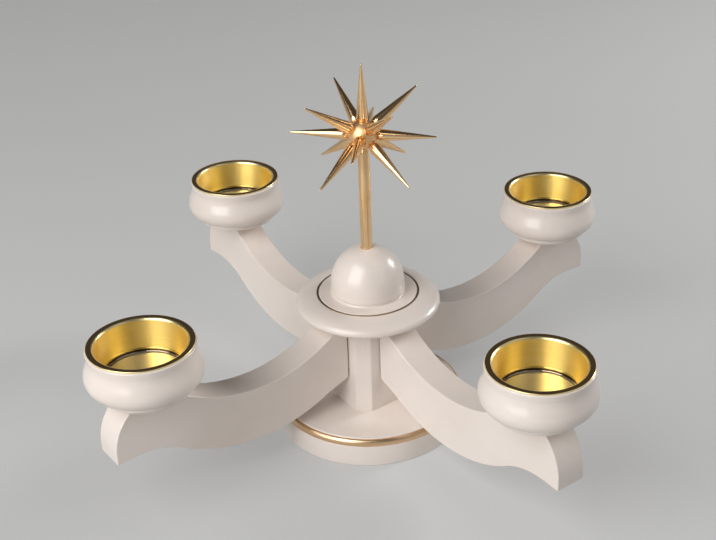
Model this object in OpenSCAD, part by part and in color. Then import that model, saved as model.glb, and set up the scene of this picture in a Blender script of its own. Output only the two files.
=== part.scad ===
// Advent candle holder: a round base and a post carry four S-shaped arms with a turned cup on each,
// and a turned cap on top holds a rod with a spiked star. Every cup holds one tealight insert.
// Origin: centre of the base on the ground. +Z is up, the arms lie along +X, +Y, -X and -Y.

/* [Base] */
// Diameter of the base disc where it stands
base_d = 101.4; // [92:0.2:120]
// Height of the base disc
base_h = 16; // [13:0.5:24]
// Draft of the base's side, from the foot up to the gold band
base_draft = 0.3; // [0:0.1:1]
// Height of the gold band under the top edge
band_h = 3.5; // [2.5:0.1:5]
// Width of the gold band, seen from above
band_w = 2.1; // [1.6:0.1:3]

/* [Post] */
// Width of the square post across its flats
post_w = 39.2; // [36:0.2:44]
// Depth of the chamfer on the post's four corners
post_chamfer = 5.9; // [3:0.1:8]
// Length of the post between base and collar
post_h = 53.7; // [53:0.1:60]

/* [Arms] */
// Thickness of the boards that the arms are sawn from
arm_t = 16.5; // [14:0.5:22]
// Distance from the middle to each cup's axis
arm_reach = 131; // [122:1:145]
// Gap between the base's top and the lowest point of an arm
arm_clear = 5.2; // [3:0.1:12]
// Depth of an arm at its lowest point
arm_depth = 30.4; // [26:0.1:34]
// Height of the cup seat above the arm's lowest point
seat_rise = 50.8; // [48:0.1:58]
// Length of the flat seat under a cup
seat_l = 13.2; // [10:0.2:18]
// Height of the hump in the lower edge above the arm's lowest point
hump_rise = 21; // [18:0.5:23]
// Length of the straight start of the lower edge at the post
start_l = 13.4; // [8:0.2:18]
// Slope of that straight start
start_slope = 0.34; // [0.25:0.01:0.4]
// Radius of the hump
hump_r = 41; // [38:0.5:46]
// Distance from the cup's axis to the hump's highest point
hump_out = 11; // [8:0.5:13]
// Distance from the cup's axis to the tip of the arm
tip_out = 23.2; // [21:0.2:26]
// Drop of the tip's lower corner below the hump
tip_drop = 0.7; // [0.2:0.1:1.5]
// Radius of the rounded outer end
nose_r = 27.5; // [25:0.5:34]

/* [Collar] */
// Largest diameter of the collar
collar_d = 76.4; // [70:0.2:86]
// Height of the collar, up to its shoulder line
collar_h = 7.6; // [6.4:0.1:9]
// Diameter of the thin gold ring
ring_d = 53.2; // [50:0.2:56]
// Width of the thin gold ring
ring_w = 1.2; // [0.8:0.1:1.6]

/* [Dome] */
// Diameter of the dome at its foot
dome_d = 39.6; // [36:0.2:42]
// Height of the dome
dome_h = 26; // [24:0.5:30]
// Diameter of the tenon that joins dome, collar and post
tenon_d = 10; // [9:0.5:12]
// Length of the tenon below the collar
tenon_l = 14; // [10:0.5:14]

/* [Cups] */
// Diameter of the bead at the cup's foot
foot_d = 44.4; // [42:0.2:46]
// Height of that bead
foot_h = 2.6; // [2:0.1:3.2]
// Largest diameter of the cup
belly_d = 56.4; // [55:0.2:62]
// Height of the cup's widest place above its seat
belly_h = 10; // [9:0.2:11]
// Diameter of the cup's neck
neck_d = 50.8; // [50.2:0.1:52]
// Height of the neck above the seat
neck_h = 20.4; // [19.4:0.1:21.4]
// Diameter of the cup's lip
lip_d = 51.8; // [51.6:0.1:53]
// Height of the cup above its seat
cup_h = 24.2; // [24:0.1:25]

/* [Tealight inserts] */
// Diameter of a standard tealight
tealight_d = 38; // [37.5:0.1:38.5]
// Room round the tealight at the floor
tealight_gap = 0.4; // [0.2:0.1:0.6]
// Depth from the flange's top to the floor
insert_depth = 16.7; // [15:0.1:17]
// Inner diameter just below the flange
insert_mouth_d = 43.4; // [42.6:0.1:43.8]
// Outer diameter of the flange
flange_d = 50.6; // [49.4:0.1:51.2]
// Thickness of the sheet
sheet_t = 0.7; // [0.5:0.1:0.8]
// Room between an insert's wall and the cup's bore
insert_gap = 0.4; // [0.3:0.05:0.45]

/* [Star] */
// Height of the star's middle above the ground
star_z = 166.2; // [155:0.2:185]
// Distance from the star's middle to a tip
spike_l = 36.8; // [30:0.2:42]
// Diameter of a spike at its thickest place
spike_d = 6.1; // [4.8:0.1:6.6]
// Diameter of the tip
tip_d = 0.9; // [0.6:0.1:1.4]
// Angle of the slanting spikes above and below the level ones
ring_tilt = 32.8; // [30:0.2:38]
// Angle by which the upper slanting spikes are turned one way, and the lower ones the other
ring_turn = 9.2; // [0:0.2:12]
// Diameter of the ball in the middle
hub_d = 15.2; // [14.4:0.2:17]
// Diameter of the rod
rod_d = 6; // [5:0.1:7]
// Room round the rod in the dome's hole
rod_gap = 0.08; // [0.03:0.01:0.1]
// Depth of the rod's hole below the dome's top
rod_hole_l = 23; // [16:0.5:24]

/* [Fasteners] */
// Diameter of the dowels that hold the arms
dowel_d = 6; // [5:0.5:7]
// Length of those dowels
dowel_l = 24; // [18:1:26]
// Diameter of the screws' shanks
screw_d = 4; // [3.5:0.1:4.5]
// Diameter of the screws' heads
screw_head_d = 8; // [7:0.2:8.6]
// Length of the screw up through the base
base_screw_l = 45; // [34:1:46]
// Length of the screw down through each cup
cup_screw_l = 30; // [22:1:32]
// Room round dowels, tenon and shanks
glue_gap = 0.05; // [0.02:0.01:0.1]

/* [Hidden] */
$fn = 96;
curve_step = 7.5;
SIDES = ["right", "back", "left", "front"];
SPIKES = [for (ring = ["upper", "level", "lower"]) for (i = [1:4]) str("star_spike_", ring, "_", i)];

// Base and band
edge_r = 0.6;
band_z = base_h - band_h - edge_r;
band_out_r = base_d / 2 - base_draft;
band_in_r = band_out_r - band_w;
band_lip = 0.4;
base_top_r = band_in_r - edge_r;

// Post and collar
post_top = base_h + post_h;
collar_edge_share = 0.28;
collar_edge_z = post_top + collar_edge_share * collar_h;
collar_edge_w = 2.6;
shoulder_in = 2.6;
shoulder_r = ring_d / 2 - shoulder_in;
shoulder_z = post_top + collar_h;
shoulder_angle = 66;
ring_depth = 1;
ring_low = 0.15;
plate_lip = 0.35;
plate_rise = 0.2;
plate_r = (ring_d - ring_w) / 2;
plate_z = shoulder_z + plate_rise;

// Arms, in a plane with the distance from the middle as x and the height as y
arm_in = post_w / 2;
arm_low = base_h + arm_clear;
arm_high = arm_low + arm_depth;
seat_z = arm_low + seat_rise;
seat_in = arm_reach - seat_l / 2;
seat_out = arm_reach + seat_l / 2;
valley_share = 0.55;
valley_x = valley_share * arm_reach;
upper_dx = seat_in - valley_x;
upper_dz = seat_z - arm_high;
upper_r = (pow(upper_dx, 2) + pow(upper_dz, 2)) / (2 * upper_dz);
hump_x = arm_reach + hump_out;
hump_z = arm_low + hump_rise;
hump_dx = hump_x - valley_x;
hump_q = hump_r - hump_rise;
lower_r = (pow(hump_dx, 2) + pow(hump_q, 2) - pow(hump_r, 2)) / (2 * (hump_r - hump_q));
turn_x = valley_x + hump_dx * lower_r / (lower_r + hump_r);
start_x = arm_in + start_l;
start_z = arm_low + lower_r - sqrt(pow(lower_r, 2) - pow(valley_x - start_x, 2));
start_low = start_z + start_l * start_slope;
tip_x = arm_reach + tip_out;
nose_x = tip_x - nose_r;
nose_z = seat_z - sqrt(pow(nose_r, 2) - pow(seat_out - nose_x, 2));

// Cups and inserts
lip_r = 0.8;
bead_angle = 60;
groove_in = 0.8;
cup_top = seat_z + cup_h;
cup_bore_r = insert_mouth_d / 2 + sheet_t + insert_gap;
flange_t = 0.8;
flange_top = cup_top + flange_t;
insert_floor_z = flange_top - insert_depth;
insert_floor_r = tealight_d / 2 + tealight_gap;
bend_r = 1.1;
roll_r = 1.5;
floor_gap = 1.1;
cup_floor_z = insert_floor_z - sheet_t - floor_gap;

// Dome and star
dome_top = plate_z + dome_h;
dome_foot_h = 3.2;
dome_foot_in = 2.4;
dome_foot_angle = 60;
dome_side_h = 5.5;
dome_side_in = 0.4;
rod_hole_r = rod_d / 2 + rod_gap;
rod_z = dome_top - rod_hole_l;
stem_d = 3;
stem_gap = 0.05;
stem_l = 3;
neck_r = 1.9;
neck_gap = 0.05;
hub_r = hub_d / 2;
root_s = sqrt(pow(hub_r, 2) - pow(neck_r, 2)) + neck_gap;
root_l = 2.9;

// Fasteners
dowel_drop = 27.7;
dowel_low = post_top - dowel_drop;
dowel_step = 12;
tenon_r = tenon_d / 2;
socket_gap = 0.5;
screw_tip_l = 4;
screw_point_d = 1;
head_l = (screw_head_d - screw_d) / 2;
base_screw_z = 0.8;
slack = 0.01;
cut = 1;

// Points on part of an ellipse from angle t0 to t1
function bow(cx, cy, a, b, t0, t1) =
    let (n = ceil(abs(t1 - t0) / curve_step))
    [for (i = [0:n]) let (t = t0 + (t1 - t0) * i / n) [cx + a * cos(t), cy + b * sin(t)]];

// Points on a soft S-curve from a to b, upright at both ends
function ogee(a, b, n = 12) =
    [for (i = [0:n]) let (u = i / n) [a.x + (b.x - a.x) * (1 - cos(180 * u)) / 2, a.y + (b.y - a.y) * u]];

module turned(points) {
    rotate_extrude()
        polygon(points);
}

module facing(i) {
    rotate([0, 0, 90 * i])
        children();
}

module at_cup(i) {
    facing(i)
        translate([arm_reach, 0, 0])
            children();
}

// Countersunk wood screw standing on its point, with the top of its head at the height given
module screw(l) {
    translate([0, 0, -head_l])
        cylinder(h = head_l, d1 = screw_d, d2 = screw_head_d);
    translate([0, 0, screw_tip_l - l])
        cylinder(h = l - screw_tip_l - head_l, d = screw_d);
    translate([0, 0, -l])
        cylinder(h = screw_tip_l, d1 = screw_point_d, d2 = screw_d);
}

module screw_hole(l) {
    translate([0, 0, -l - socket_gap])
        cylinder(h = l + socket_gap, d = screw_d + 2 * glue_gap);
    translate([0, 0, -head_l])
        cylinder(h = head_l + slack, d1 = screw_d + 2 * glue_gap, d2 = screw_head_d + 2 * glue_gap);
    cylinder(h = cut, d = screw_head_d + 2 * glue_gap);
}

// Upside down, for the screw that comes up through the base
module under(z) {
    translate([0, 0, z])
        mirror([0, 0, 1])
            children();
}

module base() {
    color("ivory")
        difference() {
            turned(concat(
                [[0, 0]],
                bow(base_d / 2 - edge_r, edge_r, edge_r, edge_r, -90, 0),
                [[band_out_r, band_z], [band_in_r, band_z]],
                bow(base_top_r, base_h - edge_r, edge_r, edge_r, 0, 90),
                [[0, base_h]]
            ));
            under(base_screw_z)
                screw_hole(base_screw_l);
        }
}

module base_band() {
    color("goldenrod")
        turned(concat(
            [[band_in_r + glue_gap, band_z]],
            bow(band_in_r + band_lip, band_z, band_w - band_lip, band_h, 0, 90),
            [[band_in_r + glue_gap, band_z + band_h]]
        ));
}

module base_screw() {
    color("silver")
        under(base_screw_z)
            screw(base_screw_l);
}

module post_section() {
    half = post_w / 2;
    flat = half - post_chamfer;
    polygon([
        [half, -flat], [half, flat], [flat, half], [-flat, half],
        [-half, flat], [-half, -flat], [-flat, -half], [flat, -half]
    ]);
}

module dowel_places() {
    for (k = [0:1])
        translate([arm_in, 0, dowel_low + k * dowel_step])
            rotate([0, 90, 0])
                children();
}

module dowel_holes() {
    dowel_places()
        cylinder(h = dowel_l + 2 * socket_gap, d = dowel_d + 2 * glue_gap, center = true);
}

module post() {
    color("ivory")
        difference() {
            translate([0, 0, base_h])
                linear_extrude(post_h)
                    post_section();
            for (i = [0:3])
                facing(i)
                    dowel_holes();
            translate([0, 0, post_top - tenon_l - socket_gap])
                cylinder(h = tenon_l + socket_gap + cut, r = tenon_r + glue_gap);
            under(base_screw_z)
                screw_hole(base_screw_l);
        }
}

// Side view of an arm, cut from a straight blank: a wide valley above, and below it a straight start,
// an arc, a hump under the cup, the tip and the rounded outer end
module arm_outline() {
    difference() {
        translate([arm_in, arm_low - cut])
            square([tip_x - arm_in, post_top - arm_low + cut]);
        translate([valley_x, arm_high + upper_r])
            circle(upper_r);
        translate([valley_x, seat_z])
            square([tip_x, seat_z]);
        start_cut();
        difference() {
            translate([start_x, 0])
                square([turn_x - start_x, arm_low + lower_r]);
            translate([valley_x, arm_low + lower_r])
                circle(lower_r);
        }
        translate([hump_x, hump_z - hump_r])
            circle(hump_r);
        tip_cut();
        difference() {
            translate([nose_x, nose_z])
                square(2 * nose_r);
            translate([nose_x, nose_z])
                circle(nose_r);
        }
    }
}

// Waste below the lower edge's straight start at the post
module start_cut() {
    polygon([
        [arm_in - cut, start_low], [arm_in, start_low], [start_x, start_z],
        [start_x + cut, start_z - 2 * cut], [start_x + cut, 0], [arm_in - cut, 0]
    ]);
}

// Waste below the lower edge's last stretch, from the hump's highest point to the tip
module tip_cut() {
    run = tip_x - hump_x;
    tip_r = (pow(run, 2) + pow(tip_drop, 2)) / (2 * tip_drop);
    intersection() {
        translate([hump_x, hump_z - tip_r])
            circle(tip_r);
        translate([hump_x, 0])
            square([run + cut, hump_z + cut]);
    }
}

module arm(i) {
    color("ivory")
        facing(i)
            difference() {
                rotate([90, 0, 0])
                    linear_extrude(arm_t, center = true)
                        arm_outline();
                dowel_holes();
                translate([arm_reach, 0, cup_floor_z])
                    screw_hole(cup_screw_l);
            }
}

module arm_dowels(i) {
    color("burlywood")
        facing(i)
            dowel_places()
                cylinder(h = dowel_l, d = dowel_d, center = true);
}

module collar() {
    color("ivory")
        difference() {
            turned(concat(
                [[tenon_r + glue_gap, post_top]],
                bow(
                    collar_d / 2 - collar_edge_w, collar_edge_z,
                    collar_edge_w, collar_edge_z - post_top, -90, 0
                ),
                bow(
                    shoulder_r, collar_edge_z,
                    collar_d / 2 - shoulder_r, shoulder_z - collar_edge_z, 0, shoulder_angle
                ),
                [[plate_r + ring_w, shoulder_z - ring_low]],
                bow(plate_r - plate_lip, plate_z - plate_lip, plate_lip, plate_lip, 0, 90),
                [[tenon_r + glue_gap, plate_z]]
            ));
            collar_ring_shape(ring_depth, cut);
        }
}

module collar_ring_shape(deep, high) {
    translate([0, 0, shoulder_z - ring_low - deep])
        difference() {
            cylinder(h = deep + high, r = plate_r + ring_w);
            translate([0, 0, -cut])
                cylinder(h = deep + high + 2 * cut, r = plate_r);
        }
}

module collar_ring() {
    color("goldenrod")
        turned(concat(
            [
                [plate_r, shoulder_z - ring_low - ring_depth],
                [plate_r + ring_w, shoulder_z - ring_low - ring_depth]
            ],
            bow(plate_r + ring_w / 2, shoulder_z - ring_low - ring_w / 2, ring_w / 2, ring_w / 2, 0, 180)
        ));
}

module dome() {
    foot_r = dome_d / 2;
    side_r = foot_r - dome_side_in;
    side_z = plate_z + dome_side_h;
    color("ivory")
        difference() {
            turned(concat(
                [
                    [0, post_top - tenon_l], [tenon_r, post_top - tenon_l],
                    [tenon_r, plate_z], [foot_r - dome_foot_in, plate_z]
                ],
                bow(
                    foot_r - dome_foot_in, plate_z + dome_foot_h,
                    dome_foot_in, dome_foot_h, -dome_foot_angle, 0
                ),
                bow(0, side_z, side_r, dome_top - side_z, 0, 90)
            ));
            translate([0, 0, rod_z])
                cylinder(h = rod_hole_l + cut, r = rod_hole_r);
        }
}

module cup(i) {
    foot_r = foot_d / 2;
    groove_r = foot_r - groove_in;
    color("ivory")
        at_cup(i)
            difference() {
                turned(concat(
                    [[0, seat_z]],
                    bow(foot_r - edge_r, seat_z + foot_h / 2, edge_r, foot_h / 2, -90, bead_angle),
                    bow(
                        groove_r, seat_z + belly_h,
                        belly_d / 2 - groove_r, belly_h - foot_h, -90, 0
                    ),
                    ogee([belly_d / 2, seat_z + belly_h], [neck_d / 2, seat_z + neck_h]),
                    bow(lip_d / 2 - lip_r, cup_top - lip_r, lip_r, lip_r, 0, 90),
                    [[0, cup_top]]
                ));
                translate([0, 0, cup_floor_z])
                    cylinder(h = cup_h, r = cup_bore_r);
                translate([0, 0, cup_floor_z])
                    screw_hole(cup_screw_l);
            }
}

module cup_screw(i) {
    color("silver")
        at_cup(i)
            translate([0, 0, cup_floor_z])
                screw(cup_screw_l);
}

// Pressed metal liner: flange, rolled edge, tapering wall, small bend and flat floor
module insert(i) {
    mouth_r = insert_mouth_d / 2;
    out = sheet_t;
    bend_out = bend_r + out;
    color("gold")
        at_cup(i)
            turned(concat(
                [[0, insert_floor_z]],
                bow(insert_floor_r - bend_r, insert_floor_z + bend_r, bend_r, bend_r, -90, 0),
                bow(mouth_r + roll_r, flange_top - roll_r, roll_r, roll_r, 180, 90),
                [[flange_d / 2, flange_top], [flange_d / 2, cup_top]],
                [[mouth_r + out, cup_top]],
                bow(insert_floor_r - bend_r, insert_floor_z + bend_r, bend_out, bend_out, 0, -90),
                [[0, insert_floor_z - sheet_t]]
            ));
}

// Turns a shape that points up so that it leaves the star's middle at an azimuth and an elevation
module from_star(azimuth, elevation) {
    translate([0, 0, star_z])
        rotate([0, 90 - elevation, azimuth])
            children();
}

module star_rod() {
    color("goldenrod")
        turned([
            [0, rod_z], [rod_d / 2, rod_z],
            [rod_d / 2, star_z - root_s - root_l], [neck_r, star_z - root_s],
            [stem_d / 2, star_z - root_s], [stem_d / 2, star_z - root_s + stem_l],
            [0, star_z - root_s + stem_l]
        ]);
}

module stem_hole() {
    translate([0, 0, root_s - stem_l - socket_gap])
        cylinder(h = hub_r, d = stem_d + 2 * stem_gap);
}

module star_hub() {
    color("goldenrod")
        difference() {
            translate([0, 0, star_z])
                sphere(d = hub_d);
            from_star(0, 90)
                stem_hole();
            from_star(0, -90)
                stem_hole();
            for (i = [0:3]) {
                from_star(90 * i - ring_turn, ring_tilt)
                    stem_hole();
                from_star(90 * i + 45, 0)
                    stem_hole();
                from_star(90 * i + ring_turn, -ring_tilt)
                    stem_hole();
            }
        }
}

// One spike, pointing up from the star's middle: stem, rounded root and long taper to a blunt tip
module spike() {
    spike_r = spike_d / 2;
    tip_r = tip_d / 2;
    root_z = root_s + root_l;
    color("goldenrod")
        turned(concat(
            [[0, root_s - stem_l], [stem_d / 2, root_s - stem_l], [stem_d / 2, root_s]],
            bow(neck_r, root_z, spike_r - neck_r, root_l, -90, 0),
            bow(0, spike_l - tip_r, tip_r, tip_r, 0, 90)
        ));
}

base();
base_band();
base_screw();
post();
collar();
collar_ring();
dome();
for (i = [0:3]) {
    arm(i);
    arm_dowels(i);
    cup(i);
    cup_screw(i);
    insert(i);
}
star_rod();
star_hub();
from_star(0, 90) spike();  // star_spike_top
for (i = [0:3]) {
    from_star(90 * i - ring_turn, ring_tilt) spike();
    from_star(90 * i + 45, 0) spike();
    from_star(90 * i + ring_turn, -ring_tilt) spike();
}
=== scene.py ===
import math

import bmesh
import bpy
from bpy.props import FloatProperty, FloatVectorProperty, PointerProperty
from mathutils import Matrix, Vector


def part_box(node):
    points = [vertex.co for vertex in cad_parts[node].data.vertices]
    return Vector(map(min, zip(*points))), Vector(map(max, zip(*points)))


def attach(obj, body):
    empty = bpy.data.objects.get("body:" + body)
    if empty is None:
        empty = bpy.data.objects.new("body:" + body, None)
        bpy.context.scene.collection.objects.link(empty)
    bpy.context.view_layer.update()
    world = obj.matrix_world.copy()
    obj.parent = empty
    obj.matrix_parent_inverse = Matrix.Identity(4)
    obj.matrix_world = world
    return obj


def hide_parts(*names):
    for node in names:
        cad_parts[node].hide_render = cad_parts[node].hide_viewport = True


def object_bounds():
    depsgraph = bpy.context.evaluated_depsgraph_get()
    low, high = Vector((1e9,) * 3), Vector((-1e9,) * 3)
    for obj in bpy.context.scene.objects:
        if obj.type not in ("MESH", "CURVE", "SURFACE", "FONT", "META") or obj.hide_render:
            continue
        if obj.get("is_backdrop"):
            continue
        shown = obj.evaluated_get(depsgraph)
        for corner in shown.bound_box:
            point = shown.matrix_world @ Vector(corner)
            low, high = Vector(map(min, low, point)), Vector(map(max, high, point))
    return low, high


bl_info = {
    "name": "Advent candle holder",
    "version": (1, 0, 0),
    "blender": (4, 5, 0),
    "location": "3D View > Sidebar > Candle holder",
    "description": "Dresses the packed candle holder: lacquered wood, gold liners and a brass star",
    "category": "Object",
}

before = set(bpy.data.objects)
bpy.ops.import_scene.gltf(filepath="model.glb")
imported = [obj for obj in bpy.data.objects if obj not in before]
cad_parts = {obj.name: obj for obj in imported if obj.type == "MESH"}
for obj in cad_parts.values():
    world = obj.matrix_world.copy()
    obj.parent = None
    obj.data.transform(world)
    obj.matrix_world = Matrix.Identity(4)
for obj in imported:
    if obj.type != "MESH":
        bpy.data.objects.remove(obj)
CAD_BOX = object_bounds()

MM = 0.001
TINY = 1e-7
SIDES = ("right", "back", "left", "front")
ORIGIN = Vector((0.0, 0.0, 0.0))

# How fast the grain attribute runs along the fibres or a turner's marks, and across them
ALONG, ACROSS, FINE_ACROSS = 30.0, 1500.0, 2600.0

# Facets round the large turned pieces
LARGE = 192

# Gaps that keep one fitted piece from sharing a face with the next
CLOSE_FIT, FIT, EASY_FIT = 0.01 * MM, 0.02 * MM, 0.05 * MM

# Radii of a hidden screw's hole and head, and the depth of its countersink
SCREW_HOLE, SCREW_HEAD, SCREW_SINK = 2.05 * MM, 4.05 * MM, 2.0 * MM

# Radius of the floor's level part, radius of its upward bend and height of the backdrop, in m
FLOOR_FLAT, FLOOR_BEND, BACKDROP = 1.5, 0.45, 0.72

# Each lamp's name, azimuth and elevation in degrees, and distance and size in metres
LAMPS = (
    ("key", -169, 33, 1.35, (1.05, 1.3)),
    ("kicker", -10, 21, 1.35, (0.30, 0.32)),
    ("side", -62, 50, 1.5, (1.1, 0.8)),
)

# The point that the lamps look at, and the width of the camera's film in mm
AIM = Vector((0.0, 0.0, 0.08))
FILM = 36.0

# Each operator, in the order in which they run, and the settings that it reads
STEPS = {
    "base": "base", "post": "post", "arms": "arm", "collar": "collar", "dome": "dome",
    "cups": "cup", "liners": "liner", "star": "star", "fixings": "finish", "stage": "stage",
}


# Sizes and colours that a user may change

def length(name, value, text):
    return FloatProperty(
        name=name, description=text, default=value, min=0.0, unit="LENGTH", precision=5
    )


def angle(name, value, text):
    return FloatProperty(
        name=name, description=text, default=math.radians(value), unit="ROTATION", subtype="ANGLE"
    )


def share(name, value, text):
    return FloatProperty(
        name=name, description=text, default=value, min=0.0, max=1.0, subtype="FACTOR"
    )


def power(name, value, text):
    return FloatProperty(name=name, description=text, default=value, min=0.0)


def paint(name, value, text):
    return FloatVectorProperty(
        name=name, description=text, default=value, size=3, min=0.0, max=1.0, subtype="COLOR"
    )


def low(node):
    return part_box(node)[0]


def high(node):
    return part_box(node)[1]


class BaseSizes(bpy.types.PropertyGroup):
    radius: length("Radius", high("base").x, "Radius of the base disc at its foot")
    height: length("Height", high("base").z, "Height of the base disc")
    edge: length("Edge", 0.6 * MM, "Rounding of the foot and of the top edge")
    band_low: length("Band foot", low("base_band").z, "Height at which the gold band begins")
    band_high: length("Band top", high("base_band").z, "Height at which the gold band ends")
    band_out: length("Band radius", high("base_band").x, "Radius of the gold band at its foot")
    band_width: length("Band width", 2.1 * MM, "Width of the gold band, seen from above")


class PostSizes(bpy.types.PropertyGroup):
    half: length("Half width", high("post").x, "Half of the post's width across its flats")
    chamfer: length("Chamfer", 5.9 * MM, "Depth of the chamfer on each corner")
    edge: length("Edge", 0.55 * MM, "Rounding of the long edges")


class ArmSizes(bpy.types.PropertyGroup):
    start: length("Start", low("arm_right").x, "Distance from the middle to the arm's inner end")
    tip: length("Tip", high("arm_right").x, "Distance from the middle to the arm's outer end")
    bottom: length("Lowest point", low("arm_right").z, "Height of the arm's lowest point")
    top: length("Top", high("arm_right").z, "Height of the arm's inner end")
    half_width: length("Half width", high("arm_right").y, "Half of the board's thickness")
    reach: length("Reach", 131 * MM, "Distance from the middle to a cup's axis")
    depth: length("Depth", 30.4 * MM, "Depth of the arm at its lowest point")
    seat: length("Seat", 6.6 * MM, "Half of the flat seat's length under a cup")
    hump_rise: length("Hump rise", 21 * MM, "Height of the hump above the arm's lowest point")
    hump_radius: length("Hump radius", 41 * MM, "Radius of the hump in the lower edge")
    hump_out: length("Hump place", 11 * MM, "Distance from the cup's axis to the hump's top")
    nose_radius: length("Nose radius", 27.5 * MM, "Radius of the rounded outer end")
    tip_drop: length("Tip drop", 0.7 * MM, "Drop of the tip's corner below the hump")
    edge: length("Edge", 0.6 * MM, "Rounding of the sawn edges")
    joint: length("Joint", 0.6 * MM, "Width of the shadow gap where the arm meets the post")


class CollarSizes(bpy.types.PropertyGroup):
    radius: length("Radius", high("collar").x, "Largest radius of the collar")
    bottom: length("Underside", low("collar").z, "Height of the collar's underside")
    top: length("Top", high("collar").z, "Height of the plate inside the gold ring")
    ring_out: length("Ring radius", high("collar_ring").x, "Outer radius of the thin gold ring")
    ring_width: length("Ring width", 1.2 * MM, "Width of the thin gold ring")
    ring_low: length("Ring foot", low("collar_ring").z, "Height of the groove's floor")
    ring_high: length("Ring top", high("collar_ring").z, "Height of the ring's top")


class DomeSizes(bpy.types.PropertyGroup):
    radius: length("Radius", high("dome").x, "Largest radius of the dome, close to its foot")
    top: length("Top", high("dome").z, "Height of the dome's top")
    tenon_low: length("Tenon foot", low("dome").z, "Height of the hidden tenon's lower end")
    tenon_radius: length("Tenon radius", 5 * MM, "Radius of the hidden tenon")
    hole_radius: length("Hole radius", 3.08 * MM, "Radius of the hole that takes the rod")
    foot_in: length("Foot undercut", 2.4 * MM, "How far the foot draws in under the widest place")
    foot_height: length("Foot height", 3.2 * MM, "Height of the rounding under the widest place")


class CupSizes(bpy.types.PropertyGroup):
    seat: length("Seat", low("cup_right").z, "Height of the cup's underside")
    top: length("Top", high("cup_right").z, "Height of the cup's lip")
    belly: length("Belly radius", high("cup_right").y, "Largest radius of the cup")
    belly_rise: length("Belly rise", 10 * MM, "Height of the widest place above the seat")
    foot: length("Foot radius", 22.2 * MM, "Radius of the foot bead")
    foot_height: length("Foot height", 2.6 * MM, "Height of the foot bead")
    groove: length("Groove", 1.3 * MM, "Depth of the groove over the foot bead")
    neck: length("Neck radius", 25.4 * MM, "Radius of the neck under the lip")
    neck_rise: length("Neck rise", 20.4 * MM, "Height of the neck above the seat")
    lip: length("Lip radius", 25.9 * MM, "Radius of the lip")
    bore: length("Bore radius", 22.8 * MM, "Radius of the bore that takes a liner")
    floor: length("Bore floor", 78.5 * MM, "Height of the bore's floor")


class LinerSizes(bpy.types.PropertyGroup):
    bottom: length("Underside", low("insert_right").z, "Height of the liner's underside")
    top: length("Top", high("insert_right").z, "Height of the flange's top")
    flange: length("Flange radius", high("insert_right").y, "Outer radius of the flange")
    mouth: length("Mouth radius", 21.7 * MM, "Inner radius just under the flange")
    floor_radius: length("Floor radius", 19.4 * MM, "Radius of the floor that takes a tealight")
    sheet: length("Sheet", 0.7 * MM, "Thickness of the sheet")
    bend: length("Bend", 1.1 * MM, "Inner radius of the bend between floor and wall")
    step: length("Step", 1.5 * MM, "Height of the small step round the floor")
    ledge: length("Ledge", 0.45 * MM, "Width of the rounded ledge over that step")
    roll: length("Roll", 1.5 * MM, "Radius of the rolled edge at the mouth")


class StarSizes(bpy.types.PropertyGroup):
    middle: length(
        "Middle", (low("star_hub").z + high("star_hub").z) / 2, "Height of the star's middle"
    )
    ball: length("Ball radius", 7.6 * MM, "Radius of the ball in the middle")
    reach: length("Reach", 36.8 * MM, "Distance from the middle to a spike's tip")
    spike: length("Spike radius", 3.05 * MM, "Radius of a spike at its thickest place")
    neck: length("Neck radius", 1.9 * MM, "Radius of a spike where it leaves the ball")
    root: length("Root", 2.9 * MM, "Length of the rounded root, up to the thickest place")
    tip: length("Tip radius", 0.45 * MM, "Radius of a spike's blunt tip")
    rod: length("Rod radius", high("star_rod").x, "Radius of the rod")
    rod_low: length("Rod foot", low("star_rod").z, "Height of the rod's lower end")
    tilt: angle("Tilt", 32.8, "How far the slanting spikes stand above and below the level ones")
    turn: angle("Turn", 9.2, "How far the upper spikes are turned one way, the lower the other")


class Finishes(bpy.types.PropertyGroup):
    cream: paint("Cream", (0.865, 0.778, 0.715), "Lacquer")
    cream_deep: paint("Deep cream", (0.825, 0.725, 0.65), "Lacquer where it lies thicker")
    gold: paint("Gold", (0.97, 0.78, 0.30), "Wall of a liner")
    gold_deep: paint("Deep gold", (0.93, 0.69, 0.20), "Shaded streaks in that wall")
    floor: paint("Floor gold", (0.97, 0.88, 0.66), "Polished floor of a liner")
    # Corner is painted shade: a near-black colour on the small step round a liner's floor, standing
    # in for the shade that falls into that corner
    corner: paint("Corner", (0.07, 0.04, 0.02), "Tarnish in the corner round that floor")
    # Rolled gold is a painted highlight: a paler gold on the roll at a liner's mouth, standing in
    # for the bright band that the lamps light on it
    roll: paint("Rolled gold", (1.0, 0.84, 0.46), "Worn bright roll at a liner's mouth")
    flange: paint("Flange gold", (0.95, 0.62, 0.30), "Polished flange of a liner")
    brass: paint("Brass", (0.96, 0.66, 0.36), "Star and its rod")
    brass_deep: paint("Deep brass", (0.72, 0.38, 0.15), "Tarnish in the brass")
    gilt: paint("Gilt", (0.82, 0.58, 0.36), "Band round the base")
    # Ring gold is partly the ring's own gold-brown paint and partly painted shade of the groove
    # that it lies in
    ring: paint("Ring gold", (0.55, 0.40, 0.23), "Darkened ring in the collar")
    zinc: paint("Zinc", (0.62, 0.63, 0.64), "Plating of the screws")
    zinc_deep: paint("Dull zinc", (0.50, 0.49, 0.46), "Blotches in that plating")
    wood: paint("Beech", (0.62, 0.42, 0.24), "Dowels")
    wood_deep: paint("Beech flecks", (0.44, 0.27, 0.14), "Flecks in the dowels")


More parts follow.
